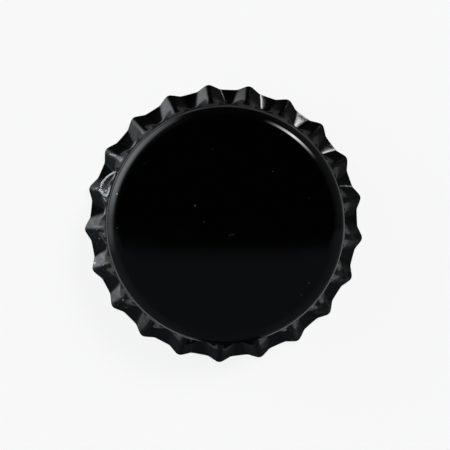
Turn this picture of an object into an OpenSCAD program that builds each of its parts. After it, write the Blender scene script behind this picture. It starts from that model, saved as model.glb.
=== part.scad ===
// Crown cap for a glass bottle, as it comes before crimping: a domed steel panel with a round corner,
// a skirt that is pleated into teeth, and a moulded sealing liner inside. Millimetres, +Z up, the
// rim's lowest points at z = 0 and the axis of the cap on Z.

/* [Crown] */
// Diameter over the tips of the teeth
crown_d = 32.1; // [31.6:0.1:33]
// Height from the rim to the middle of the panel
crown_h = 6; // [5.7:0.1:6.6]
// Inside diameter of the plain wall, which fits over the bottle's lip
bore_d = 26.7; // [26.4:0.05:27]
// Thickness of the steel sheet
sheet = 0.24; // [0.2:0.01:0.28]

/* [Panel] */
// Radius that the panel is domed to
dome_r = 200; // [140:10:300]
// Outside radius that the panel's edge is rolled over to
shoulder_r = 1.88; // [1.6:0.02:2.2]
// Steepness of the shoulder below that
slope = 42.5; // [38:0.5:48]
// Width of its straight part
slope_w = 0.28; // [0.2:0.02:0.5]
// Outside radius between the shoulder and the plain wall
neck_r = 0.65; // [0.5:0.05:0.8]
// Height of the plain wall between the neck's round and the teeth
wall_h = 0.5; // [0.3:0.05:0.6]

/* [Teeth] */
// Number of teeth round the skirt
teeth = 21; // [19:1:23]
// Depth of the teeth at the rim, from tip to valley
tooth_depth = 0.65; // [0.5:0.05:0.8]
// How much higher the tip of a tooth ends than a valley
tip_lift = 0.32; // [0.2:0.02:0.44]
// Lean of a valley below its bend
valley_bend = 64; // [60:0.5:66]
// Lean of a valley at the rim
valley_tip = 71; // [69:0.5:75]
// Radius that a valley is bent outwards over
valley_bend_r = 1.1; // [0.8:0.05:1.3]
// Straight way down a crest before its bend
crest_straight = 0.9; // [0.6:0.05:1]
// Lean of a crest below its bend
crest_bend = 55; // [53:0.5:56]
// Lean of a crest at the rim
crest_tip = 59; // [58:0.5:61]
// Share of half a pitch that rounds a crest
crest_round = 0.2; // [0.15:0.01:0.3]
// Share of a flank, between its two rounds, that is straight
straight_share = 0.5; // [0:0.05:0.7]
// Share of the pitch that a tooth takes at the rim
rim_share = 0.63; // [0.55:0.01:0.75]
// Share of the pitch that a tooth takes at the plain wall
neck_share = 0.97; // [0.85:0.01:0.98]

/* [Liner] */
// Thickness of the web over the bottle's mouth
web_t = 0.25; // [0.2:0.05:0.35]
// Thickness of the liner at the flat seat for the bottle's lip
seat_t = 0.65; // [0.55:0.05:0.75]
// Diameter of the middle of the flat seat
seat_d = 22.4; // [21.8:0.1:22.8]
// Width of the flat seat
seat_w = 1.7; // [1.4:0.1:1.9]
// Diameter of each round bead beside the seat
bead_d = 0.9; // [0.7:0.05:1]

/* [Hidden] */

// Domed panel, rolled shoulder with a straight slope, round neck and plain wall, at the outer face
wall_r = bore_d / 2 + sheet;
neck_x = wall_r - neck_r;
shoulder_x = neck_x + (neck_r - shoulder_r) * sin(slope) - slope_w;
dome_edge = asin(shoulder_x / (dome_r - shoulder_r));
shoulder_z = crown_h - dome_r + (dome_r - shoulder_r) * cos(dome_edge);
neck_z = shoulder_z + (shoulder_r - neck_r) * cos(slope) - slope_w * tan(slope);
wall_z = neck_z - wall_h;
dome_fn = 720;
round_fn = 96;
over = 1;

// Teeth. The skirt's sheet starts inside the plain wall, clear of both its faces by seam.
pitch = 360 / teeth;
seam = 0.01;
skirt_t = sheet - 2 * seam;
root_r = wall_r - seam;
root_lap = 0.15;
tip_r = crown_d / 2;
valley_r = tip_r - tooth_depth;
valley_slope = 0.15;
foot_power = 3;
columns = 7;
column_bias = 1.25;
nudge = 0.01;
full_turn = 2 * PI;

// Down the sheet, valley and crest drop straight, are bent outwards, and flare on to the rim, where
// the valleys rest on their inner edge. Each line is [straight length, bend radius, lean below the
// bend, flare radius], from the reach and drop that it has to cover.
valley_z = skirt_t * sin(valley_tip);
tip_z = valley_z + tip_lift;
valley_flare_r = (valley_r - root_r - valley_bend_r * (1 - cos(valley_bend)))
    / (cos(valley_bend) - cos(valley_tip));
valley_drop = valley_bend_r * sin(valley_bend)
    + valley_flare_r * (sin(valley_tip) - sin(valley_bend));
valley_line = [wall_z - valley_z - valley_drop, valley_bend_r, valley_bend, valley_flare_r];
valley_l = line_length(valley_line, valley_tip);

reach = tip_r - root_r;
drop = wall_z - tip_z - crest_straight;
flare_x = cos(crest_bend) - cos(crest_tip);
flare_z = sin(crest_tip) - sin(crest_bend);
crest_bend_r = (drop * flare_x - reach * flare_z)
    / (sin(crest_bend) * flare_x - (1 - cos(crest_bend)) * flare_z);
crest_flare_r = (reach - crest_bend_r * (1 - cos(crest_bend))) / flare_x;
crest_line = [crest_straight, crest_bend_r, crest_bend, crest_flare_r];
crest_l = line_length(crest_line, crest_tip);

// Ways down the sheet of the skirt's rings of points, closer together where it is bent
bend_top = crest_straight * valley_l / crest_l;
bend_end = line_length(valley_line, valley_bend);
ring_ways = concat(
    [-root_lap],
    [for (share = [0, 0.2, 0.4, 0.55, 0.7, 0.85, 1]) bend_top + share * (bend_end - bend_top)],
    [(bend_end + valley_l) / 2, valley_l]
);

// Liner, from the panel's underside down
liner_gap = 0.02;
bead_lift = 0.15;
bead_x = (seat_w + bead_d) / 2;
seat_z = crown_h - dome_r + sqrt(pow(dome_r - sheet, 2) - pow(seat_d / 2, 2)) - seat_t;
bead_z = seat_z + bead_lift;

// Length of a line down to the lean tip, and its two leans at v down it
function arc_length(r, a) = full_turn * r * a / 360;
function line_length(line, tip) =
    line[0] + arc_length(line[1], line[2]) + arc_length(line[3], tip - line[2]);
function bent(line, v) = min(line[2], max(0, v - line[0]) / arc_length(line[1], 1));
function flared(line, v) =
    line[2] + max(0, v - line_length(line, line[2])) / arc_length(line[3], 1);

// Radius and height at v down a line
function line_r(line, v) =
    root_r + line[1] * (1 - cos(bent(line, v))) + line[3] * (cos(line[2]) - cos(flared(line, v)));
function line_z(line, v) =
    wall_z - min(v, line[0]) - line[1] * sin(bent(line, v))
        - line[3] * (sin(flared(line, v)) - sin(line[2]));

// How far the flank of a tooth has fallen at x, in shares of half a pitch from the crest. It is
// round up to the crest's end, then straight, and flattens towards its foot.
function fall(x, foot) =
    let (
        bend = crest_round + straight_share * (foot - crest_round),
        near = min(x, crest_round),
        straight = max(0, min(x, bend) - crest_round),
        hollow = max(0, min(x, foot) - bend),
        flat = max(0, x - foot)
    )
    pow(near, 2) / (2 * crest_round)
        + straight
        + hollow - (1 - valley_slope) * pow(hollow, 2) / (2 * (foot - bend))
        + valley_slope * flat * (1 - flat / (2 * (1 - foot)));

// How far the sheet has risen from valley to crest, at turn degrees from the crest and v down
function foot_share(v) = neck_share + (rim_share - neck_share) * pow(max(0, v) / valley_l, foot_power);
function rise(turn, v) =
    let (foot = foot_share(v))
    1 - fall(abs(turn) / (pitch / 2), foot) / fall(1, foot);

// A point of the skirt's outer face, turn degrees from the crest at angle middle
function skirt_point(middle, turn, v) =
    let (
        up = rise(turn, v),
        crest_v = v > 0 ? v * crest_l / valley_l : v,
        r = (1 - up) * line_r(valley_line, v) + up * line_r(crest_line, crest_v),
        z = (1 - up) * line_z(valley_line, v) + up * line_z(crest_line, crest_v)
    )
    [r * cos(middle + turn), r * sin(middle + turn), z];

// The point that lies inset below the outer face, square to the sheet
function inset_point(middle, turn, v, inset) =
    let (
        round = skirt_point(middle, turn + nudge, v) - skirt_point(middle, turn - nudge, v),
        down = skirt_point(middle, turn, v + nudge) - skirt_point(middle, turn, v - nudge),
        out = cross(down, round)
    )
    skirt_point(middle, turn, v) - inset * out / norm(out);

// Turn of a column from its crest: the columns crowd towards the crest
function column_turn(i) = sign(i) * pow(abs(i) / columns, column_bias) * pitch / 2;

// One closed loop of points round the whole skirt
function loop(v, inset) = [
    for (tooth = [0:teeth - 1]) for (i = [1 - columns:columns])
        inset_point(tooth * pitch, column_turn(i), v, inset)
];

// A ring-shaped solid whose section is the closed row of loops given, outer face first, going down
module loop_solid(loops) {
    n = len(loops[0]);
    rows = len(loops);
    faces = [
        for (k = [0:rows - 1]) for (i = [0:n - 1])
            let (j = (i + 1) % n, a = k * n, b = (k + 1) % rows * n)
                each [[a + i, b + j, b + i], [a + i, a + j, b + j]]
    ];
    polyhedron([for (one = loops) each one], faces);
}

// The pleated skirt: its outer face from the top down, then its inner face from the rim up
module skirt() {
    last = len(ring_ways) - 1;
    loop_solid(concat(
        [for (k = [0:last]) loop(ring_ways[k], 0)],
        [for (k = [last:-1:0]) loop(ring_ways[k], skirt_t)]
    ));
}

// Outline of everything under the outer face, moved in by inset, down to foot_z
module top_outline(inset, foot_z) {
    roll = shoulder_r - inset;
    turn = neck_r - inset;
    slope_top = [shoulder_x + roll * sin(slope), shoulder_z + roll * cos(slope)];
    slope_end = [neck_x + turn * sin(slope), neck_z + turn * cos(slope)];
    intersection() {
        translate([0, crown_h - dome_r])
            circle(dome_r - inset, $fn = dome_fn);
        translate([0, foot_z])
            square([shoulder_x + roll * sin(dome_edge), crown_h]);
    }
    intersection() {
        translate([shoulder_x, shoulder_z])
            circle(roll, $fn = round_fn);
        translate([0, foot_z])
            square([slope_top[0], crown_h]);
    }
    intersection() {
        translate([neck_x, neck_z])
            circle(turn, $fn = round_fn);
        translate([0, neck_z])
            square([wall_r + over, crown_h]);
    }
    polygon([
        [0, foot_z], [wall_r - inset, foot_z], [wall_r - inset, neck_z],
        [neck_x, neck_z], slope_end, slope_top, [0, slope_top[1]]
    ]);
}

// Panel, shoulder, neck and plain wall, turned from one section of the sheet
module panel() {
    rotate_extrude($fn = round_fn)
        difference() {
            top_outline(0, wall_z);
            top_outline(sheet, wall_z - over);
        }
}

module crown_shell() {
    color([0.03, 0.03, 0.035])
        union() {
            panel();
            skirt();
        }
}

// A bead of the liner in section, with the middle of its round at radius x
module bead(x) {
    translate([x, bead_z])
        circle(d = bead_d, $fn = round_fn);
    translate([x - bead_d / 2, bead_z])
        square([bead_d, crown_h]);
}

// The liner lies against the inside of panel and corner. Its web is as domed as the panel, and its
// rim has a flat seat for the bottle's lip, between two beads.
module sealing_liner() {
    color([0.85, 0.87, 0.85])
        rotate_extrude($fn = round_fn)
            intersection() {
                top_outline(sheet + liner_gap, 0);
                union() {
                    difference() {
                        square([seat_d / 2, crown_h]);
                        translate([0, crown_h - dome_r])
                            circle(dome_r - sheet - liner_gap - web_t, $fn = dome_fn);
                    }
                    translate([seat_d / 2 - bead_x, seat_z])
                        square([2 * bead_x, crown_h]);
                    bead(seat_d / 2 - bead_x);
                    bead(seat_d / 2 + bead_x);
                }
            }
}

crown_shell();
sealing_liner();
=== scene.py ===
"""Crown cap for a glass bottle, before crimping: lacquered steel shell and moulded sealing liner.

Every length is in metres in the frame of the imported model: the rim's lowest points at z = 0, the
axis of the cap on Z, and a crest of the skirt on +X.
"""

import math

import bmesh
import bpy
from bpy.props import FloatProperty, FloatVectorProperty, IntProperty, PointerProperty
from mathutils import Matrix, Vector


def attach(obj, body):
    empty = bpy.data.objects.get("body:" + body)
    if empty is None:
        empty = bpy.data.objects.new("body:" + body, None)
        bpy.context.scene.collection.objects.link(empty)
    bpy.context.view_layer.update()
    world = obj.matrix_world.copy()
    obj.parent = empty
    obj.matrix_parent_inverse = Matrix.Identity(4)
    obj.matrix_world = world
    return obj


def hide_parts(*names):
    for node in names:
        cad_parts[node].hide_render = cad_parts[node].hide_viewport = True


bl_info = {
    "name": "Crown Bottle Cap",
    "version": (1, 0, 0),
    "blender": (4, 5, 0),
    "location": "3D View > Sidebar > Bottle Cap",
    "description": "Builds an uncrimped crown cap with its liner, and a stage to show it on",
    "category": "Object",
}

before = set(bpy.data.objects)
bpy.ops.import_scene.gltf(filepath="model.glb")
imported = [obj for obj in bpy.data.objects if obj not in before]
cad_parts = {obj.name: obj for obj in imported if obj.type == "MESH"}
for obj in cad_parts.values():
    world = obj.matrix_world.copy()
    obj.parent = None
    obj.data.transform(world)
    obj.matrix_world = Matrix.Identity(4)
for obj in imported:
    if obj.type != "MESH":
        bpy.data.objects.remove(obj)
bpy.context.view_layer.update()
MM = 0.001
MICRON = 1e-6
PHASE = math.radians(6.28)  # turn of the view's axes in the frame


# ---------------------------------------------------------------- nodes


def put(socket, value):
    """Gives a socket a value, or links it."""
    if isinstance(value, Wire):
        socket.id_data.links.new(value.socket, socket)
    else:
        socket.default_value = value


class Wire:
    """An output socket that adds Math nodes when it is used in plain arithmetic."""

    def __init__(self, socket):
        self.socket = socket

    def math(self, operation, *values):
        return add(self.socket.id_data, "ShaderNodeMath", {"operation": operation}, values)

    def other(self, name):
        return Wire(self.socket.node.outputs[name])

    def __add__(self, value):
        return self.math("ADD", self, value)

    __radd__ = __add__

    def __sub__(self, value):
        return self.math("SUBTRACT", self, value)

    def __rsub__(self, value):
        return self.math("SUBTRACT", value, self)

    def __mul__(self, value):
        return self.math("MULTIPLY", self, value)

    __rmul__ = __mul__

    def __truediv__(self, value):
        return self.math("DIVIDE", self, value)

    def __rtruediv__(self, value):
        return self.math("DIVIDE", value, self)

    def __pow__(self, value):
        return self.math("POWER", self, value)

    def __abs__(self):
        return self.math("ABSOLUTE", self)

    def least(self, value):
        return self.math("MINIMUM", self, value)

    def most(self, value):
        return self.math("MAXIMUM", self, value)

    def between(self, low, high):
        return self.most(low).least(high)

    def sin(self):
        return self.math("SINE", self)

    def cos(self):
        return self.math("COSINE", self)

    def floor(self):
        return self.math("FLOOR", self)

    def sign(self):
        return self.math("SIGN", self)

    def step(self, low, high):
        """0 below low and 1 above high, smooth between them."""
        t = ((self - low) / (high - low)).between(0, 1)
        return t * t * (3 - 2 * t)


def add(tree, kind, settings=None, sockets=(), out=0):
    """Adds a node: its settings first, then the values or links of its sockets."""
    made = tree.nodes.new(kind)
    for name, value in (settings or {}).items():
        setattr(made, name, value)
    pairs = sockets.items() if isinstance(sockets, dict) else enumerate(sockets)
    for name, value in pairs:
        put(made.inputs[name], value)
    return Wire(made.outputs[out])


def apart(tree, vector):
    """The three numbers of a vector."""
    x = add(tree, "ShaderNodeSeparateXYZ", None, [vector])
    return x, x.other("Y"), x.other("Z")


def seen(x, y, turn=0):
    """Plan distances across and up the view, after a further turn."""
    a = PHASE + turn
    return x * math.cos(a) + y * math.sin(a), y * math.cos(a) - x * math.sin(a)


def past(x, y, azimuth):
    """Degrees counterclockwise past an azimuth, which starts at the right of the view."""
    ahead, aside = seen(x, y, math.radians(azimuth))
    return ahead.math("ARCTAN2", aside, ahead) * math.degrees(1)


def wedge(x, y, azimuth, reach):
    """1 at an azimuth, falling straight to 0 at reach degrees from it."""
    return (1 - abs(past(x, y, azimuth)) / reach).most(0)


def sector(x, y, azimuth, full, end):
    """1 within full degrees of an azimuth, falling smoothly to 0 at end degrees from it."""
    return 1 - abs(past(x, y, azimuth)).step(full, end)


# ---------------------------------------------------------------- sizes and colours


def a_length(name, description, default):
    return FloatProperty(
        name=name, description=description, default=default * MM, min=0, precision=5,
        subtype="DISTANCE", unit="LENGTH",
    )


def an_angle(name, description, degrees):
    return FloatProperty(
        name=name, description=description, default=math.radians(degrees), min=0,
        max=math.pi / 2, subtype="ANGLE", unit="ROTATION",
    )


def a_share(name, description, default):
    return FloatProperty(
        name=name, description=description, default=default, min=0, max=1, subtype="FACTOR"
    )


def a_colour(name, description, default):
    return FloatVectorProperty(
        name=name, description=description, default=default, min=0, max=1, size=3,
        subtype="COLOR",
    )


class ShellSizes(bpy.types.PropertyGroup):
    """Sizes of the steel shell"""

    crown_diameter: a_length("Crown diameter", "Over the tips of the teeth", 32.1)
    crown_height: a_length("Height", "From the rim to the middle of the panel", 6)
    bore_diameter: a_length("Bore", "Inside diameter of the plain wall", 26.7)
    sheet: a_length("Sheet", "Thickness of the steel", 0.24)
    dome_radius: a_length("Dome radius", "Radius that the panel is domed to", 200)
    shoulder_radius: a_length("Shoulder radius", "Outside radius where the panel rolls over", 1.88)
    slope: an_angle("Slope", "Steepness of the shoulder below that", 42.5)
    slope_width: a_length("Slope width", "Width of the slope's straight part", 0.25)
    neck_radius: a_length("Neck radius", "Outside radius between shoulder and wall", 0.65)
    wall_height: a_length("Plain wall", "Height between the neck's round and the teeth", 0.5)
    tooth_depth: a_length("Tooth depth", "From tip to valley at the rim", 0.65)
    tip_lift: a_length("Tip lift", "How much higher a tooth's tip ends than a valley", 0.32)
    valley_bend: an_angle("Valley bend", "Lean of a valley below its bend", 64)
    valley_tip: an_angle("Valley tip", "Lean of a valley at the rim", 71)
    valley_bend_radius: a_length("Valley bend radius", "Radius that a valley is bent over", 0.5)
    crest_straight: a_length("Crest straight", "Straight way down a crest before its bend", 1.3)
    crest_bend: an_angle("Crest bend", "Lean of a crest below its bend", 55)
    crest_tip: an_angle("Crest tip", "Lean of a crest at the rim", 59)
    crest_round: a_share("Crest round", "Share of half a pitch that rounds the crest", 0.17)
    straight_share: a_share("Straight flank", "Share of a flank that is straight", 0.7)
    rim_share: a_share("Foot at the rim", "Share of the pitch that a tooth takes", 0.63)
    neck_share: a_share("Foot at the neck", "Share of the pitch that a tooth takes", 0.97)
    valley_slope: a_share("Valley slope", "Share of a flank's slope that is left at its foot", 0.15)
    teeth: IntProperty(name="Teeth", description="Teeth round the skirt", default=21, min=3)


class LinerSizes(bpy.types.PropertyGroup):
    """Sizes of the sealing liner"""

    web: a_length("Web", "Thickness over the bottle's mouth", 0.25)
    seat: a_length("Seat", "Thickness at the flat seat for the bottle's lip", 0.65)
    seat_diameter: a_length("Seat diameter", "Middle of the flat seat", 22.4)
    seat_width: a_length("Seat width", "Between the two beads", 1.7)
    bead: a_length("Beads", "Diameter of each bead beside the seat", 0.9)
    bead_lift: a_length("Bead lift", "From the seat up to the middle of a bead", 0.15)
    blend: a_length("Blend", "Height that rounds each inner corner", 0.06)
    gap: a_length("Gap", "Clearance to the steel", 0.02)


class LacquerLook(bpy.types.PropertyGroup):
    """Colours and polish of the outside"""

    lacquer: a_colour("Lacquer", "Colour of the outside", (0.037, 0.037, 0.0375))
    polish: a_share("Polish", "Roughness of the panel", 0.05)
    # colour of dust, and of the painted glints and painted sheen on the skirt
    dust_and_sheen: a_colour("Dust", "Colour of dust and worn flecks", (0.62, 0.64, 0.67))
    # colour of the bluish white beads in a loop beside the neck
    residue: a_colour("Residue", "Colour of the dried drop's rims", (0.86, 0.93, 1.0))


class StudioLook(bpy.types.PropertyGroup):
    """Colour and glow of the floor"""

    floor: a_colour("Floor", "Colour of the floor", (0.9, 0.9, 0.9))
    glow: a_share("Glow", "Part of the floor's whiteness that shadows leave alone", 0.75)


# ---------------------------------------------------------------- shell

# rows of the sheet's grid, from the middle of the panel down to the rim: the skirt's are those to
# the end of a crest's straight, to the end of a valley's bend, and on to the cut edge
PANEL_ROWS, SHOULDER_ROWS, NECK_ROWS, RIM_ROWS = 3, 10, 8, 6
SKIRT_ROWS = (6, 24, 10)
NECK_ROW = PANEL_ROWS + SHOULDER_ROWS + 1
SKIRT_ROW = NECK_ROW + NECK_ROWS
ROWS = SKIRT_ROW + sum(SKIRT_ROWS) + RIM_ROWS
TOOTH_COLUMNS = 32
PANEL_SPREAD, COLUMN_SPREAD = 0.8, 1.4  # powers that space the panel's rows and a tooth's columns
FOOT_POWER = 3  # by which a tooth's foot narrows towards the rim
EDGE_SHARE = 0.35  # of the sheet's thickness, for the rounding of the cut edge
WELD = 0.5 * MICRON  # points closer than this are merged
LINE = ("Straight", "Bend Radius", "Bend", "Flare Radius")  # parts of a line down the skirt


def shell_plan(sizes):
    """Sizes that follow from the driving ones, by name, for the inputs of the tree."""
    wall = sizes.bore_diameter / 2 + sizes.sheet
    across = sizes.slope_width + sizes.shoulder_radius * math.sin(sizes.slope)
    across += sizes.neck_radius * (1 - math.sin(sizes.slope))
    dome = sizes.dome_radius - sizes.shoulder_radius
    edge = math.asin((wall - across) / dome)
    shoulder_z = sizes.crown_height - sizes.dome_radius + dome * math.cos(edge)
    neck_z = shoulder_z + (sizes.shoulder_radius - sizes.neck_radius) * math.cos(sizes.slope)
    neck_z -= sizes.slope_width * math.tan(sizes.slope)
    wall_z = neck_z - sizes.wall_height

    # valley: its bend is given, its flare covers the reach, and its straight the rest of the drop
    bend, tip, bend_r = sizes.valley_bend, sizes.valley_tip, sizes.valley_bend_radius
    reach = sizes.crown_diameter / 2 - sizes.tooth_depth - wall - bend_r * (1 - math.cos(bend))
    flare_r = reach / (math.cos(bend) - math.cos(tip))
    drop = wall_z - sizes.sheet * math.sin(tip)
    straight = drop - bend_r * math.sin(bend) - flare_r * (math.sin(tip) - math.sin(bend))
    valley = (straight, bend_r, bend, flare_r)

    # crest: its straight is given, and its bend and flare together cover reach and drop
    bend, end = sizes.crest_bend, sizes.crest_tip
    straight, reach = sizes.crest_straight, sizes.crown_diameter / 2 - wall
    drop -= sizes.tip_lift + straight
    out, down = math.cos(bend) - math.cos(end), math.sin(end) - math.sin(bend)
    bend_r = drop * out - reach * down
    bend_r /= math.sin(bend) * out - (1 - math.cos(bend)) * down
    flare_r = (reach - bend_r * (1 - math.cos(bend))) / out
    crest = (straight, bend_r, bend, flare_r)

    lengths = [
        way + turn * lean + wide * (end - lean)
        for (way, turn, lean, wide), end in ((valley, tip), (crest, end))
    ]
    return {
        "Teeth": sizes.teeth,
        "Height": sizes.crown_height,
        "Dome Radius": sizes.dome_radius,
        "Dome Edge": edge,
        "Shoulder Radius": sizes.shoulder_radius,
        "Slope": sizes.slope,
        "Slope Width": sizes.slope_width,
        "Neck Radius": sizes.neck_radius,
        "Wall Height": sizes.wall_height,
        "Valley Length": lengths[0],
        "Crest Length": lengths[1],
        **{"Valley " + name: value for name, value in zip(LINE, valley)},
        **{"Crest " + name: value for name, value in zip(LINE, crest)},
        "Crest Round": sizes.crest_round,
        "Straight Share": sizes.straight_share,
        "Rim Share": sizes.rim_share,
        "Neck Share": sizes.neck_share,
        "Valley Slope": sizes.valley_slope,
        "Sheet": sizes.sheet,
    }


def panel_line(size, row):
    """Distance from the axis and height, down the domed panel, the rolled shoulder, its straight
    slope and the round of the neck."""
    edge, slope = size["Dome Edge"], size["Slope"]
    panel = (row / PANEL_ROWS).between(0, 1) ** PANEL_SPREAD * edge
    rolled = edge + ((row - PANEL_ROWS) / SHOULDER_ROWS).between(0, 1) * (slope - edge)
    run = (row - NECK_ROW + 1).between(0, 1) * size["Slope Width"]
    bent = slope + ((row - NECK_ROW) / NECK_ROWS).between(0, 1) * (math.pi / 2 - slope)
    r = size["Dome Radius"] * panel.sin() + run
    r = r + size["Shoulder Radius"] * (rolled.sin() - edge.sin())
    r = r + size["Neck Radius"] * (bent.sin() - slope.sin())
    z = size["Height"] - size["Dome Radius"] * (1 - panel.cos())
    z = z - run * slope.sin() / slope.cos()
    z = z - size["Shoulder Radius"] * (edge.cos() - rolled.cos())
    z = z - size["Neck Radius"] * (slope.cos() - bent.cos())
    return r, z


def way_down(size, row):
    """Way down the sheet from the foot of the plain wall, how far the rounding of the cut edge
    has come, and half the thickness that is left there."""
    edge = size["Sheet"] * EDGE_SHARE
    rim = ((row - ROWS + RIM_ROWS) / RIM_ROWS).between(0, 1)
    cut = (rim * (math.pi / 2)).sin() ** (2 / 3)
    down = cut * edge - size["Wall Height"]
    bent = size["Valley Straight"] + size["Valley Bend Radius"] * size["Valley Bend"]
    stops = (0 - size["Wall Height"], size["Crest Straight"], bent, size["Valley Length"] - edge)
    first_row = SKIRT_ROW
    for count, top, end in zip(SKIRT_ROWS, stops, stops[1:]):
        down = down + ((row - first_row) / count).between(0, 1) * (end - top)
        first_row += count
    return down, cut, size["Sheet"] / 2 * (1 - cut ** 3).most(0) ** (1 / 3)


def tooth_rise(size, down, x):
    """How far the sheet has risen from valley to crest, at x half pitches from the crest. The
    flank is straight beside the crest's round, and flattens towards its foot."""
    way = down.most(0) / size["Valley Length"]
    foot = size["Neck Share"] + (size["Rim Share"] - size["Neck Share"]) * way ** FOOT_POWER
    first, left = size["Crest Round"], size["Valley Slope"]
    bend = first + size["Straight Share"] * (foot - first)

    def fallen(near, straight, hollow, flat):
        fall = near * near / (2 * first) + straight + hollow
        fall = fall - (1 - left) * hollow * hollow / (2 * (foot - bend))
        return fall + left * flat * (1 - flat / (2 * (1 - foot)))

    fall = fallen(
        x.least(first), (x - first).between(0, bend - first), (x - bend).between(0, foot - bend),
        (x - foot).most(0),
    )
    return 1 - fall / fallen(first, bend - first, foot - bend, 1 - foot)


def skirt_line(size, name, way):
    """Distance out and up at a way down a line that is straight, then bent, then flared."""
    straight, turn, lean, wide = (size[f"{name} {part}"] for part in LINE)
    bent = ((way - straight) / turn).between(0, lean)
    flared = lean + ((way - straight - turn * lean) / wide).most(0)
    out = turn * (1 - bent.cos()) + wide * (lean.cos() - flared.cos())
    return out, 0 - way.least(straight) - turn * bent.sin() - wide * (flared.sin() - lean.sin())


def welded(tree, mesh):
    """The mesh with points that meet made one."""
    return add(tree, "GeometryNodeMergeByDistance", None, {"Geometry": mesh, "Distance": WELD})


def noted(tree, mesh, name, value):
    """The mesh with a value stored on its points."""
    return add(tree, "GeometryNodeStoreNamedAttribute", {"data_type": "FLOAT"}, {
        "Geometry": mesh, "Name": name, "Value": value,
    })


def named(tree, name):
    """A value that is stored on the points."""
    return add(tree, "GeometryNodeInputNamedAttribute", {"data_type": "FLOAT"}, {"Name": name})


def both_faces(tree, sheet, thickness):
    """Outer and inner face of a sheet, joined at the cut edge."""
    faces = []
    for side in (1, -1):
        offset = add(tree, "ShaderNodeVectorMath", {"operation": "SCALE"}, {
            "Vector": add(tree, "GeometryNodeInputNormal"),
            "Scale": named(tree, "half_sheet") * side - thickness / 2,
        })
        face = add(tree, "GeometryNodeSetPosition", None, {"Geometry": sheet, "Offset": offset})
        if side < 0:
            face = add(tree, "GeometryNodeFlipFaces", None, {"Mesh": face})
        faces.append(noted(tree, face, "side", float(side)))
    join = tree.nodes.new("GeometryNodeJoinGeometry")
    for face in reversed(faces):
        tree.links.new(face.socket, join.inputs[0])
    return welded(tree, Wire(join.outputs[0]))


def painted(tree, body, materials):
    """Lacquer outside, varnish inside and bare steel on the cut edge."""
    outside, inside, bare = materials
    body = add(tree, "GeometryNodeSetMaterial", None, {"Geometry": body, "Material": outside})
    areas = (("side", "LESS_THAN", 0.0, inside), ("cut", "GREATER_THAN", 0.5, bare))
    for name, operation, limit, material in areas:
        area = add(tree, "FunctionNodeCompare", {"data_type": "FLOAT", "operation": operation}, {
            "A": named(tree, name), "B": limit,
        })
        body = add(tree, "GeometryNodeSetMaterial", None, {
            "Geometry": body, "Selection": area, "Material": material,
        })
    return body


def shell_tree(plan, materials):
    """Geometry nodes for the whole shell: one grid is wrapped round the axis as a formed sheet."""
    tree = bpy.data.node_groups.new("formed_shell", "GeometryNodeTree")
    tree.interface.new_socket("Geometry", in_out="OUTPUT", socket_type="NodeSocketGeometry")
    for name, value in plan.items():
        kind = "NodeSocketInt" if isinstance(value, int) else "NodeSocketFloat"
        tree.interface.new_socket(name, in_out="INPUT", socket_type=kind)
    given = tree.nodes.new("NodeGroupInput")
    size = {name: Wire(given.outputs[name]) for name in plan}

    sheet = add(tree, "GeometryNodeMeshGrid", None, {
        "Size X": 1.0, "Size Y": 1.0,
        "Vertices X": size["Teeth"] * TOOTH_COLUMNS + 1, "Vertices Y": ROWS + 1,
    })
    across, up, _ = apart(tree, add(tree, "GeometryNodeInputPosition"))
    row = (0.5 - up) * ROWS

    # turn from the nearest crest, with the columns closer together at the crest
    pitches = (across + 0.5) * size["Teeth"]
    crest = (pitches + 0.5).floor()
    off = (pitches - crest) * 2
    half_pitch = math.pi / size["Teeth"]
    turn = abs(off) ** COLUMN_SPREAD * half_pitch
    angle = crest * (2 * half_pitch) + turn * off.sign()

    top_r, top_z = panel_line(size, row)
    down, cut, half_sheet = way_down(size, row)
    rise = tooth_rise(size, down, turn / half_pitch)
    valley_r, valley_z = skirt_line(size, "Valley", down)
    crest_down = down.least(0) + down.most(0) * size["Crest Length"] / size["Valley Length"]
    crest_r, crest_z = skirt_line(size, "Crest", crest_down)
    r = top_r + valley_r + (crest_r - valley_r) * rise
    z = top_z - size["Wall Height"] + valley_z + (crest_z - valley_z) * rise
    where = add(tree, "ShaderNodeCombineXYZ", None, [r * angle.cos(), r * angle.sin(), z])

    values = {"down": down, "rise": rise, "half_sheet": half_sheet, "cut": cut}
    for name, value in values.items():
        sheet = noted(tree, sheet, name, value)
    sheet = add(tree, "GeometryNodeSetPosition", None, {"Geometry": sheet, "Position": where})
    body = both_faces(tree, welded(tree, sheet), size["Sheet"])
    body = add(tree, "GeometryNodeSetShadeSmooth", None, {"Geometry": body, "Shade Smooth": True})
    body = add(tree, "GeometryNodeRealizeInstances", None, {"Geometry": body})
    body = painted(tree, body, materials)
    tree.links.new(body.socket, tree.nodes.new("NodeGroupOutput").inputs[0])
    return tree


def grown(name, tree, values):
    """The plain mesh that a geometry tree makes from the values of its named inputs."""
    maker = bpy.data.objects.new(name + "_maker", bpy.data.meshes.new(name + "_maker"))
    bpy.context.scene.collection.objects.link(maker)
    modifier = maker.modifiers.new("form", "NODES")
    modifier.node_group = tree
    for item in tree.interface.items_tree:
        if item.in_out == "INPUT" and item.name in values:
            modifier[item.identifier] = values[item.name]
    graph = bpy.context.evaluated_depsgraph_get()
    graph.update()
    mesh = bpy.data.meshes.new_from_object(maker.evaluated_get(graph), depsgraph=graph)
    mesh.name = name
    maker.modifiers.remove(modifier)
    bpy.data.objects.remove(maker)
    if not mesh.polygons:
        raise RuntimeError(name + " came out empty")
    made = bpy.data.objects.new(name, mesh)
    bpy.context.scene.collection.objects.link(made)
    return made


def finished(name, shape, material):
    """A smooth object in the scene from a bmesh."""
    mesh = bpy.data.meshes.new(name)
    shape.to_mesh(mesh)
    shape.free()
    mesh.shade_smooth()
    mesh.materials.append(material)
    made = bpy.data.objects.new(name, mesh)
    bpy.context.scene.collection.objects.link(made)
    return made


# ---------------------------------------------------------------- finishes


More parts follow.
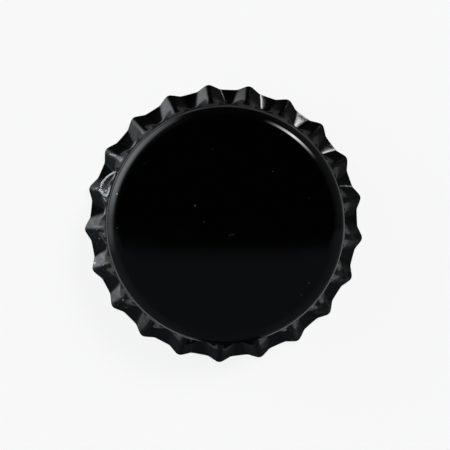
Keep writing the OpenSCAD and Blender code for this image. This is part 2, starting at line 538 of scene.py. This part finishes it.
def finish(name, colour, **constants):
    """A new material, its tree and its Principled shader, with sockets set by name."""
    material = bpy.data.materials.new(name)
    material.use_nodes = True
    material.diffuse_color = (*colour, 1)
    tree = material.node_tree
    shader = tree.nodes["Principled BSDF"]
    shader.inputs["Base Color"].default_value = (*colour, 1)
    for socket, value in constants.items():
        shader.inputs[socket.replace("_", " ")].default_value = value
    return material, tree, shader


def scaled(tree, vector, factors):
    """A vector with each of its numbers times a factor."""
    return add(tree, "ShaderNodeVectorMath", {"operation": "MULTIPLY"}, [vector, factors])


def millimetres(tree):
    """Object coordinates in millimetres."""
    return scaled(tree, add(tree, "ShaderNodeTexCoord", out="Object"), (1 / MM,) * 3)


def grain(tree, at, size, detail=2.0):
    """Noise in lumps of a size, from about 0.25 to 0.75."""
    return add(tree, "ShaderNodeTexNoise", None, {
        "Vector": at, "Scale": 1 / size, "Detail": detail,
    })


def specks(tree, at, cell, radius, amount):
    """1 on the specks of a field that keeps an amount, from 0 to 1, of one speck in each cell."""
    spot = add(tree, "ShaderNodeTexVoronoi", None, {"Vector": at, "Scale": 1 / cell})
    luck, _, _ = apart(tree, spot.other("Color"))
    inside = (1 - spot * (cell / radius)).step(0, 0.5)
    return inside * (amount - luck).step(0, 0.02)


def stored(tree, name):
    """A value that the shell's geometry tree left on its points."""
    return add(tree, "ShaderNodeAttribute", {"attribute_name": name}, out="Fac")


def blended(tree, factor, first, second):
    """A colour that goes from the first to the second."""
    return add(tree, "ShaderNodeMix", {"data_type": "RGBA"}, {0: factor, 6: first, 7: second}, 2)


def bumped(tree, shader, height):
    """Normals from a height in micrometres."""
    put(shader.inputs["Normal"], add(tree, "ShaderNodeBump", None, {
        "Distance": MICRON, "Height": height,
    }))


# flecks of dust and painted glints as the cap lies, in millimetres: both ends across and up the
# view, radius, strength
DUST_AND_GLINTS = (
    (-3.53, 2.26, -3.5, 2.24, 0.1, 0.6),
    (-2.51, 0.39, -2.5, 0.38, 0.08, 0.35),
    (0.33, -1.06, 0.95, -1.0, 0.09, 0.14),
    (0.4, -1.28, 0.85, -1.25, 0.06, 0.06),
    (-1.53, 8.66, -1.5, 8.64, 0.09, 0.16),
    (5.26, 6.16, 5.33, 6.13, 0.08, 0.3),
    (9.42, 3.1, 9.47, 3.08, 0.07, 0.2),
    (9.45, -6.59, 9.48, -6.57, 0.08, 0.3),
    (8.54, -7.96, 8.57, -7.94, 0.07, 0.22),
    (-12.36, 3.56, -12.35, 3.55, 0.1, 0.8),
    (-12.37, -0.29, -12.33, -0.27, 0.09, 0.3),
    (-9.3, 7.0, -9.1, 7.05, 0.08, 0.08),
    (-11.65, -8.75, -11.63, -8.73, 0.13, 0.9),
    (-11.3, -9.65, -11.2, -9.68, 0.08, 0.25),
    (-14.72, 4.06, -14.62, 4.1, 0.08, 0.5),
    (-14.98, 3.92, -14.95, 3.9, 0.07, 0.4),
    (-13.08, 7.98, -12.5, 7.82, 0.1, 1.0),
    (-14.67, -0.62, -14.6, -0.66, 0.08, 0.35),
    (-15.0, -4.5, -14.86, -4.56, 0.13, 1.0),
    (-14.46, -1.69, -14.3, -1.72, 0.09, 0.3),
    (-13.89, -1.13, -13.8, -1.1, 0.08, 0.3),
    (-13.64, -2.21, -13.6, -2.2, 0.09, 0.25),
    (-13.84, 3.0, -13.55, 2.6, 0.12, 0.16),
    (-13.5, 2.1, -13.75, 1.1, 0.13, 0.12),
    (-12.35, 7.75, -11.8, 7.35, 0.3, 0.08),
    (-10.85, 8.6, -10.0, 9.5, 0.2, 0.06),
    (-12.45, 5.6, -13.2, 4.4, 0.28, 0.1),
)


def fleck_and_glint_strength(x, y, wall):
    """Strength of the dust flecks and painted glints, as capsules round their two ends that stay
    off the upright wall.
    """
    across, up = seen(x, y)
    most = 0.0
    for x0, y0, x1, y1, radius, strength in DUST_AND_GLINTS:
        run, rise = x1 - x0, y1 - y0
        dx, dy = across - x0, up - y0
        along = ((dx * run + dy * rise) / (run * run + rise * rise)).between(0, 1)
        dx, dy = dx - along * run, dy - along * rise
        most = ((1 - (dx * dx + dy * dy) / (radius * radius)).between(0, 1) * strength).most(most)
    return most * abs((x * x + y * y) ** 0.5 - wall).step(0.05, 0.11)


def black_lacquer(look, wall):
    """Gloss black enamel with a faint orange peel, uneven where the teeth are drawn, and with this
    cap's dust, denser on the skirt's left, painted glints along the crests there, and painted sheen
    on the skirt there and on the crests at the lower right. The plain wall's radius is in
    millimetres."""
    material, tree, shader = finish(
        "black_lacquer", look.lacquer, Specular_Tint=(0.85, 0.85, 0.85, 1)
    )
    at = millimetres(tree)
    x, y, _ = apart(tree, at)
    rise = stored(tree, "rise")
    drawn = (stored(tree, "down") / MM).step(0.3, 2.0)
    # left of the view: more dust specks, painted glints on the crests and painted sheen on the
    # skirt
    worn_and_lit_side = wedge(x, y, azimuth=188, reach=62)
    # lower right of the view: painted sheen on the crests
    lit_crest_sector = sector(x, y, azimuth=322, full=25, end=52)
    fine = grain(tree, at, size=0.32, detail=3)
    peel = grain(tree, at, size=1.1)
    smudge = grain(tree, at, size=5, detail=3)
    patchy = grain(tree, at, size=0.5, detail=4)

    powder = specks(tree, at, cell=0.8, radius=0.09, amount=0.012 + drawn * (0.14 + 0.5 * worn_and_lit_side))
    # painted glints along the tops of the crests on the left
    crest_glints = rise.step(0.9, 0.99) * drawn * worn_and_lit_side * fine.step(0.56, 0.66)
    # faint haze over the skirt, with painted sheen added on the left and on the lower right's
    # crests
    haze_and_sheen = (0.01 + 0.03 * worn_and_lit_side).most(lit_crest_sector * rise.step(0.25, 0.7) * 0.085)
    haze_and_sheen = drawn * patchy.step(0.38, 0.68) * haze_and_sheen
    # dust flecks, painted glints, specks and painted sheen, all drawn in the dust colour
    dust_and_sheen = fleck_and_glint_strength(x, y, wall).most(powder * 0.3).most(crest_glints * 0.11).most(haze_and_sheen)
    put(shader.inputs["Base Color"], blended(tree, dust_and_sheen, (*look.lacquer, 1), (*look.dust_and_sheen, 1)))
    put(shader.inputs["Metallic"], 1 - dust_and_sheen)

    rough = look.polish + 0.05 * smudge.step(0.5, 0.7)
    rough = rough + drawn * (0.03 + 0.09 * fine.step(0.4, 0.7))
    put(shader.inputs["Roughness"], rough + dust_and_sheen * 0.4)
    bumped(tree, shader, peel * 0.9 + drawn * fine * 6 + dust_and_sheen * 6)
    return material


def tin_varnish():
    """Clear varnish on rolled tinplate: fine lines along X, and a mottled, slightly golden film."""
    material, tree, shader = finish("varnished_tin", (0.62, 0.60, 0.55), Metallic=1.0)
    at = millimetres(tree)
    rolled = grain(tree, scaled(tree, at, (0.06, 1, 1)), size=0.09, detail=3)
    film = grain(tree, at, size=2.6, detail=4)
    colour = blended(tree, film.step(0.35, 0.65), (0.66, 0.65, 0.62, 1), (0.60, 0.55, 0.46, 1))
    colour = blended(tree, rolled.step(0.5, 0.8) * 0.4, colour, (0.4, 0.39, 0.36, 1))
    put(shader.inputs["Base Color"], colour)
    put(shader.inputs["Roughness"], 0.22 + 0.16 * rolled + 0.1 * film)
    bumped(tree, shader, rolled * 1.2 + film * 0.8)
    return material


def cut_steel():
    """Sheared edge of the sheet: burnished towards the outside and torn towards the inside."""
    material, tree, shader = finish("cut_steel", (0.35, 0.35, 0.35), Metallic=1.0)
    at = millimetres(tree)
    torn = stored(tree, "side").step(0.4, -0.4)
    streaks = grain(tree, scaled(tree, at, (1, 1, 0.15)), size=0.05, detail=3)
    put(shader.inputs["Base Color"], blended(
        tree, streaks.step(0.4, 0.65), (0.42, 0.42, 0.42, 1), (0.24, 0.235, 0.23, 1)
    ))
    put(shader.inputs["Roughness"], 0.3 + 0.25 * torn + 0.2 * streaks)
    bumped(tree, shader, streaks * (2 + 4 * torn))
    return material


def liner_compound():
    """Moulded compound: satin, with the punch's turning marks, flow marks and a few dark specks."""
    material, tree, shader = finish("liner_compound", (0.80, 0.82, 0.80))
    at = millimetres(tree)
    x, y, _ = apart(tree, at)
    flow = grain(tree, at, size=3.5, detail=4)
    spacing = 0.24
    marks = ((x * x + y * y) ** 0.5 * (math.tau / spacing) + flow * 3).sin()
    pale = blended(tree, flow.step(0.3, 0.7), (0.76, 0.79, 0.77, 1), (0.84, 0.86, 0.84, 1))
    dark = specks(tree, at, cell=1.5, radius=0.09, amount=0.25) * 0.5
    put(shader.inputs["Base Color"], blended(tree, dark, pale, (0.25, 0.24, 0.22, 1)))
    put(shader.inputs["Roughness"], 0.34 + 0.14 * flow + 0.03 * marks)
    bumped(tree, shader, marks * 0.6 + flow * 6 + grain(tree, at, size=0.25) * 1.5)
    return material


def bluish_beads(look):
    """Bluish white beads along a loop, a little darker between their clumps."""
    material, tree, shader = finish("bluish_beads", look.residue)
    at = millimetres(tree)
    clumps = grain(tree, at, size=0.16, detail=3).step(0.35, 0.7)
    darker = [part * 0.92 for part in look.residue]
    put(shader.inputs["Base Color"], blended(tree, clumps, (*darker, 1), (*look.residue, 1)))
    put(shader.inputs["Roughness"], 0.3 + 0.3 * clumps)
    bumped(tree, shader, clumps * 2)
    return material


class BOTTLECAP_OT_shell(bpy.types.Operator):
    """Build the formed steel shell from its sizes"""

    bl_idname = "bottle_cap.shell"
    bl_label = "Crown Shell"

    def execute(self, context):
        sizes = context.scene.cap_shell
        wall = (sizes.bore_diameter / 2 + sizes.sheet) / MM
        materials = (black_lacquer(context.scene.cap_lacquer, wall), tin_varnish(), cut_steel())
        plan = shell_plan(sizes)
        shell = grown("shell_formed", shell_tree(plan, materials), plan)
        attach(shell, "root")
        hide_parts("crown_shell")
        return {"FINISHED"}


# ---------------------------------------------------------------- liner

LINER_SEGMENTS = 144
ARC_STEPS, BEAD_STEPS, WEB_STEPS = 12, 24, 14
WEB_SPREAD = 1.6  # power that spaces the points under the web, closest beside the bead
STEEP = 9  # rise over run that takes a seat or a bead away outside its own width
BEAD_START = 2 * MICRON  # that the outer bead's first point stands in from the liner's edge


def evenly(start, end, count):
    """Numbers at even steps from start to end, both included."""
    return [start + (end - start) * k / count for k in range(count + 1)]


def softest(values, blend):
    """The least of the values, with its corners rounded over a height."""
    low = min(values)
    return low - blend * math.log(sum(math.exp((low - value) / blend) for value in values))


def liner_section(sizes, shell):
    """Points (radius, height) of the liner: over its top from the axis, and back underneath."""
    inset, slope = shell.sheet + sizes.gap, shell.slope
    wall = shell.bore_diameter / 2 + shell.sheet
    shoulder_r = wall - shell.neck_radius - shell.slope_width
    shoulder_r -= (shell.shoulder_radius - shell.neck_radius) * math.sin(slope)
    roll, dome = shell.shoulder_radius - inset, shell.dome_radius - inset
    edge = math.asin(shoulder_r / (shell.dome_radius - shell.shoulder_radius))
    centre_z = shell.crown_height - shell.dome_radius
    shoulder_z = centre_z + (shell.dome_radius - shell.shoulder_radius) * math.cos(edge)
    slope_r, slope_z = shoulder_r + roll * math.sin(slope), shoulder_z + roll * math.cos(slope)

    middle = sizes.seat_diameter / 2
    seat_z = centre_z + math.sqrt((shell.dome_radius - shell.sheet) ** 2 - middle ** 2) - sizes.seat
    half, away = sizes.bead / 2, (sizes.seat_width + sizes.bead) / 2
    bead_z = seat_z + sizes.bead_lift

    def under(radius):
        levels = [centre_z + math.sqrt((dome - sizes.web) ** 2 - radius ** 2)]
        levels.append(seat_z + STEEP * max(abs(radius - middle) - away, 0))
        for bead_r in (middle - away, middle + away):
            off = abs(radius - bead_r)
            dip = math.sqrt(max(half ** 2 - off ** 2, 0))
            levels.append(bead_z - dip + STEEP * max(off - half, 0))
        return softest(levels, sizes.blend / 2)

    def across_bead(start):
        return [start - half * (1 - math.cos(turn)) for turn in evenly(0, math.pi, BEAD_STEPS)]

    # over the dome, round the shoulder and down the slope to the outer bead
    top = [
        (dome * math.sin(turn), centre_z + dome * math.cos(turn))
        for turn in evenly(0, edge, ARC_STEPS)
    ]
    top += [
        (shoulder_r + roll * math.sin(turn), shoulder_z + roll * math.cos(turn))
        for turn in evenly(edge, slope, ARC_STEPS)[1:]
    ]
    outer = middle + away + half
    top.append((outer, slope_z - (outer - slope_r) * math.tan(slope)))

    # back under the outer bead, across the seat, under the inner bead, and in under the web
    ways = across_bead(outer - BEAD_START)[1:]
    seat_in = middle - away + half
    ways += evenly(ways[-1], seat_in, ARC_STEPS)[1:-1]
    ways += across_bead(seat_in)
    web_out = ways[-1]
    ways += [web_out * (1 - part ** WEB_SPREAD) for part in evenly(0, 1, WEB_STEPS)[1:-1]]
    return [*top, *((radius, under(radius)) for radius in ways), (0, under(0))]


def turned_shape(section, segments):
    """A body turned round Z from points (radius, height) that start and end on the axis."""
    shape = bmesh.new()
    loops = []
    for radius, height in section:
        count = segments if radius else 1
        turns = [math.tau * k / count for k in range(count)]
        loops.append([
            shape.verts.new((radius * math.cos(a), radius * math.sin(a), height)) for a in turns
        ])
    for upper, lower in zip(loops, loops[1:]):
        for k in range(segments):
            corners = [upper[k % len(upper)], lower[k % len(lower)]]
            corners += [lower[(k + 1) % len(lower)], upper[(k + 1) % len(upper)]]
            shape.faces.new(list(dict.fromkeys(corners)))
    bmesh.ops.recalc_face_normals(shape, faces=shape.faces)
    return shape


class BOTTLECAP_OT_liner(bpy.types.Operator):
    """Turn the moulded sealing liner from its section"""

    bl_idname = "bottle_cap.liner"
    bl_label = "Sealing Liner"

    def execute(self, context):
        section = liner_section(context.scene.cap_liner, context.scene.cap_shell)
        shape = turned_shape(section, LINER_SEGMENTS)
        liner = finished("liner_moulded", shape, liner_compound())
        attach(liner, "root")
        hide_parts("sealing_liner")
        return {"FINISHED"}


# ---------------------------------------------------------------- bluish bead loop

# beads of the bluish loop beside the neck as the cap lies, in millimetres: half width, and points
# across and up the view
LOOP_BEADS = (
    (0.155, (
        (-12.38, 5.95), (-12.72, 5.8), (-13.08, 5.58), (-13.42, 5.32), (-13.72, 5.01),
        (-13.96, 4.71), (-14.1, 4.38), (-14.15, 4.08),
    )),
    (0.19, (
        (-14.36, 3.94), (-14.08, 3.76), (-13.86, 3.48), (-13.62, 3.28), (-13.4, 3.32),
        (-13.27, 3.55), (-13.2, 3.86), (-13.08, 4.3),
    )),
    (0.18, ((-13.58, 3.87), (-13.5, 3.83), (-13.43, 3.84))),
    (0.06, ((-13.86, 3.02), (-13.7, 2.8), (-13.55, 2.55))),
)
RIM_STEPS = 6  # rings of a bead from one of its points to the next
TAPER_RINGS, END_WIDTH = 3, 0.35  # rings that a bead's end narrows over, and the share left there
WAVE, WAVE_TURN = 0.04, 0.7  # share that a bead's width varies by, and how far that turns in a ring
BEAD_RISE, BEAD_LIFT = 0.55, 0.2  # half height and raised middle, as shares of the half width
ABOVE_CAP = 20 * MM


def smooth_path(points, count):
    """Points of a Catmull-Rom curve through the given points."""
    ends = [2 * points[0] - points[1], *points, 2 * points[-1] - points[-2]]
    path = []
    for a, b, c, d in zip(ends, ends[1:], ends[2:], ends[3:]):
        for k in range(count):
            t = k / count
            path.append(0.5 * (
                2 * b + (c - a) * t + (2 * a - 5 * b + 4 * c - d) * t * t
                + (3 * b - a - 3 * c + d) * t ** 3
            ))
    return [*path, points[-1]]


def bead_on(shape, ground, path, half_width, sides=10):
    """Lays a flat bead along a plan path on the object below, sunk by a third of its height."""
    spots = []
    for plan in path:
        start = Vector((plan.x, plan.y, ABOVE_CAP))
        hit, spot, normal, _ = ground.ray_cast(start, Vector((0, 0, -1)))
        if not hit:
            raise RuntimeError("a rim of the dried drop misses the shell")
        spots.append((spot, normal))
    last = len(spots) - 1
    rings = []
    for k, (spot, normal) in enumerate(spots):
        ahead = spots[min(k + 1, last)][0] - spots[max(k - 1, 0)][0]
        aside = ahead.cross(normal).normalized()
        taper = END_WIDTH + (1 - END_WIDTH) * min(k, last - k) / TAPER_RINGS
        half = half_width * min(1, taper) * (1 + WAVE * math.sin(k * WAVE_TURN))
        rings.append([])
        for a in (math.tau * i / sides for i in range(sides)):
            lift = BEAD_RISE * math.sin(a) + BEAD_LIFT
            place = spot + aside * half * math.cos(a) + normal * half * lift
            rings[-1].append(shape.verts.new(place))
    for near, far in zip(rings, rings[1:]):
        for i in range(sides):
            shape.faces.new((near[i], near[(i + 1) % sides], far[(i + 1) % sides], far[i]))
    shape.faces.new(rings[0])
    shape.faces.new(reversed(rings[-1]))


class BOTTLECAP_OT_loop_of_beads(bpy.types.Operator):
    """Lay bluish white beads in a loop beside the neck"""

    bl_idname = "bottle_cap.residue"
    bl_label = "Dried Drop"

    def execute(self, context):
        shell = bpy.data.objects["shell_formed"]
        phase = Matrix.Rotation(PHASE, 3, "Z")
        shape = bmesh.new()
        for half_width, points in LOOP_BEADS:
            plan = [phase @ Vector((x * MM, y * MM, 0)) for x, y in points]
            bead_on(shape, shell, smooth_path(plan, RIM_STEPS), half_width * MM)
        bmesh.ops.recalc_face_normals(shape, faces=shape.faces)
        drop = finished("bluish_loop", shape, bluish_beads(context.scene.cap_lacquer))
        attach(drop, "root")
        return {"FINISHED"}


# ---------------------------------------------------------------- stage

FLOOR_RADIUS = 3.0
FLOOR_GLOW = 1.27  # strength of the glowing part of the floor's whiteness
FAR_FLOOR = (37 * MM, 57 * MM, 0.75)  # where the far floor's shade starts and is full, share lost
# shaded sectors: azimuth, degrees beside it with the full shade and with any, share of light lost
FLOOR_SHADES = ((66, 32, 75, 0.55), (274, 13, 20, 0.98))
WALL_SHADES = ((85, 15, 40, 0.8), (290, 40, 85, 0.5), (272, 12, 24, 0.8))
LAMP_STRENGTH, CARD_STRENGTH = 22, 3.8
ROOM_TINT, CEILING_TINT = (0.96, 1.0, 1.02), (0.93, 1.0, 1.12)
CAMERA_AWAY, CAMERA_LEAN, CAMERA_AZIMUTH = 370 * MM, 3.5, 134.5  # lean from upright, in degrees
AIM = (0.13 * MM, -0.215 * MM)  # point that the camera looks at, across and up the view
VIEW_WIDTH = 51.88516 * MM  # that the camera takes in there


def white_floor(look):
    """Glossy white paint that glows for the camera and for gloss, so that shadows stay faint. Gloss
    sees it darker in two sectors and far from the cap."""
    material, tree, shader = finish(
        "floor_paint", look.floor, Roughness=0.5, Coat_Weight=1.0, Coat_Roughness=0.08
    )
    camera = add(tree, "ShaderNodeLightPath", out="Is Camera Ray")
    gloss = camera.other("Is Glossy Ray").most(camera.other("Is Transmission Ray"))
    x, y, _ = apart(tree, add(tree, "ShaderNodeTexCoord", out="Object"))
    near, far, lost = FAR_FLOOR
    shade = ((x * x + y * y) ** 0.5).step(near, far) * lost
    for azimuth, full, end, lost in FLOOR_SHADES:
        shade = shade.most(sector(x, y, azimuth, full, end) * lost)
    colour = add(tree, "ShaderNodeVectorMath", {"operation": "SCALE"}, {
        "Vector": look.floor, "Scale": 1 - gloss * shade,
    })
    put(shader.inputs["Base Color"], colour)
    glow = add(tree, "ShaderNodeEmission", None, {"Color": colour, "Strength": FLOOR_GLOW})
    mixed = add(tree, "ShaderNodeMixShader", None, [
        camera.most(gloss) * look.glow, Wire(shader.outputs[0]), glow,
    ])
    put(tree.nodes["Material Output"].inputs["Surface"], mixed)
    return material


def lamp_box(x, y, up):
    """A lamp box that is brightest in its middle."""
    return wedge(x, y, azimuth=48.5, reach=18) ** 2 * up.step(26, 31) * (1 - up.step(43, 48))


def white_card(x, y, up):
    """A lit card that fades to both sides, and whose soft top comes down towards the lamp box."""
    beside = past(x, y, 150)
    card = beside.step(-42, -32) * (0.58 + 0.42 * beside.step(-32, 0))
    card = card * (1 - 0.7 * beside.step(10, 33)) * (1 - beside.step(34, 49))
    return card * (1 - (up + beside.least(0) * beside / 60).step(7, 41))


def grey_walls(x, y, up):
    """Walls that are lighter lower down, with two openings and a darker near side."""
    walls = (0.091 + 0.07 * (1 - up.step(-10, 35))) * (1 - up.step(30, 62))
    for azimuth, full, end, lost in WALL_SHADES:
        walls = walls * (1 - lost * sector(x, y, azimuth, full, end))
    return walls


def dim_ceiling(x, y):
    """A nearly black ceiling, lighter towards the bottom of the view."""
    _, ahead = seen(x, y)
    return (-0.08 - ahead).step(-0.018, 0.018) * 0.1 + 0.013


def world_light():
    """World of a dim room: a lamp box, a bright card beside it, walls and a ceiling."""
    world = bpy.data.worlds.new("studio")
    bpy.context.scene.world = world
    world.use_nodes = True
    tree = world.node_tree
    tree.nodes.clear()
    x, y, z = apart(tree, add(tree, "ShaderNodeTexCoord", out="Generated"))
    up = z.math("ARCSINE", z) * math.degrees(1)
    lamp = lamp_box(x, y, up) * LAMP_STRENGTH
    room = white_card(x, y, up) * CARD_STRENGTH + grey_walls(x, y, up)
    ceiling = dim_ceiling(x, y)
    light = add(tree, "ShaderNodeCombineXYZ", None, [
        lamp + room * tint + ceiling * blue for tint, blue in zip(ROOM_TINT, CEILING_TINT)
    ])
    background = add(tree, "ShaderNodeBackground", None, {"Color": light})
    put(tree.nodes.new("ShaderNodeOutputWorld").inputs["Surface"], background)


def round_floor(material):
    """A flat disc under the rim."""
    mesh = bpy.data.meshes.new("floor")
    shape = bmesh.new()
    bmesh.ops.create_circle(shape, cap_ends=True, segments=96, radius=FLOOR_RADIUS)
    shape.to_mesh(mesh)
    shape.free()
    mesh.materials.append(material)
    floor = bpy.data.objects.new("floor", mesh)
    bpy.context.scene.collection.objects.link(floor)
    return floor


def camera_above():
    """The camera, almost straight above, with its sides along the view's axes."""
    right = Vector((math.cos(PHASE), math.sin(PHASE), 0))
    ahead = Vector((-math.sin(PHASE), math.cos(PHASE), 0))
    lean, azimuth = math.radians(CAMERA_LEAN), math.radians(CAMERA_AZIMUTH) + PHASE
    back = Vector((
        math.sin(lean) * math.cos(azimuth), math.sin(lean) * math.sin(azimuth), math.cos(lean)
    ))
    side = ahead.cross(back).normalized()
    turn = Matrix((side, back.cross(side), back)).transposed().to_4x4()
    aim = right * AIM[0] + ahead * AIM[1]
    lens = bpy.data.cameras.new("camera")
    lens.lens = lens.sensor_width * CAMERA_AWAY / VIEW_WIDTH
    camera = bpy.data.objects.new("camera", lens)
    camera.matrix_world = Matrix.Translation(aim + back * CAMERA_AWAY) @ turn
    bpy.context.scene.collection.objects.link(camera)
    return camera


class BOTTLECAP_OT_stage(bpy.types.Operator):
    """Set the floor, the studio light and the camera"""

    bl_idname = "bottle_cap.stage"
    bl_label = "Stage"

    def execute(self, context):
        floor = round_floor(white_floor(context.scene.cap_studio))
        world_light()
        context.scene.view_settings.view_transform = "Standard"
        context.scene.camera = camera_above()
        return {"FINISHED"}


# ---------------------------------------------------------------- panel


class BOTTLECAP_PT_panel(bpy.types.Panel):
    """Sizes, finishes and steps of the bottle cap"""

    bl_idname = "BOTTLECAP_PT_panel"
    bl_label = "Bottle Cap"
    bl_space_type = "VIEW_3D"
    bl_region_type = "UI"
    bl_category = "Bottle Cap"

    def draw(self, context):
        for group in (getattr(context.scene, name) for name in GROUPS):
            box = self.layout.box()
            for name in group.__annotations__:
                box.prop(group, name)
        for step in STEPS:
            self.layout.operator(step)


STEPS = ("bottle_cap.shell", "bottle_cap.liner", "bottle_cap.residue", "bottle_cap.stage")
GROUPS = {
    "cap_shell": ShellSizes,
    "cap_liner": LinerSizes,
    "cap_lacquer": LacquerLook,
    "cap_studio": StudioLook,
}
CLASSES = (
    *GROUPS.values(), BOTTLECAP_OT_shell, BOTTLECAP_OT_liner, BOTTLECAP_OT_loop_of_beads,
    BOTTLECAP_OT_stage, BOTTLECAP_PT_panel,
)


def register():
    for kind in CLASSES:
        bpy.utils.register_class(kind)
    for name, kind in GROUPS.items():
        setattr(bpy.types.Scene, name, PointerProperty(type=kind))


def unregister():
    for name in GROUPS:
        delattr(bpy.types.Scene, name)
    for kind in reversed(CLASSES):
        bpy.utils.unregister_class(kind)


def main():
    register()
    bpy.ops.bottle_cap.shell()
    bpy.ops.bottle_cap.liner()
    bpy.ops.bottle_cap.residue()
    bpy.ops.bottle_cap.stage()


if __name__ == "__main__":
    main()
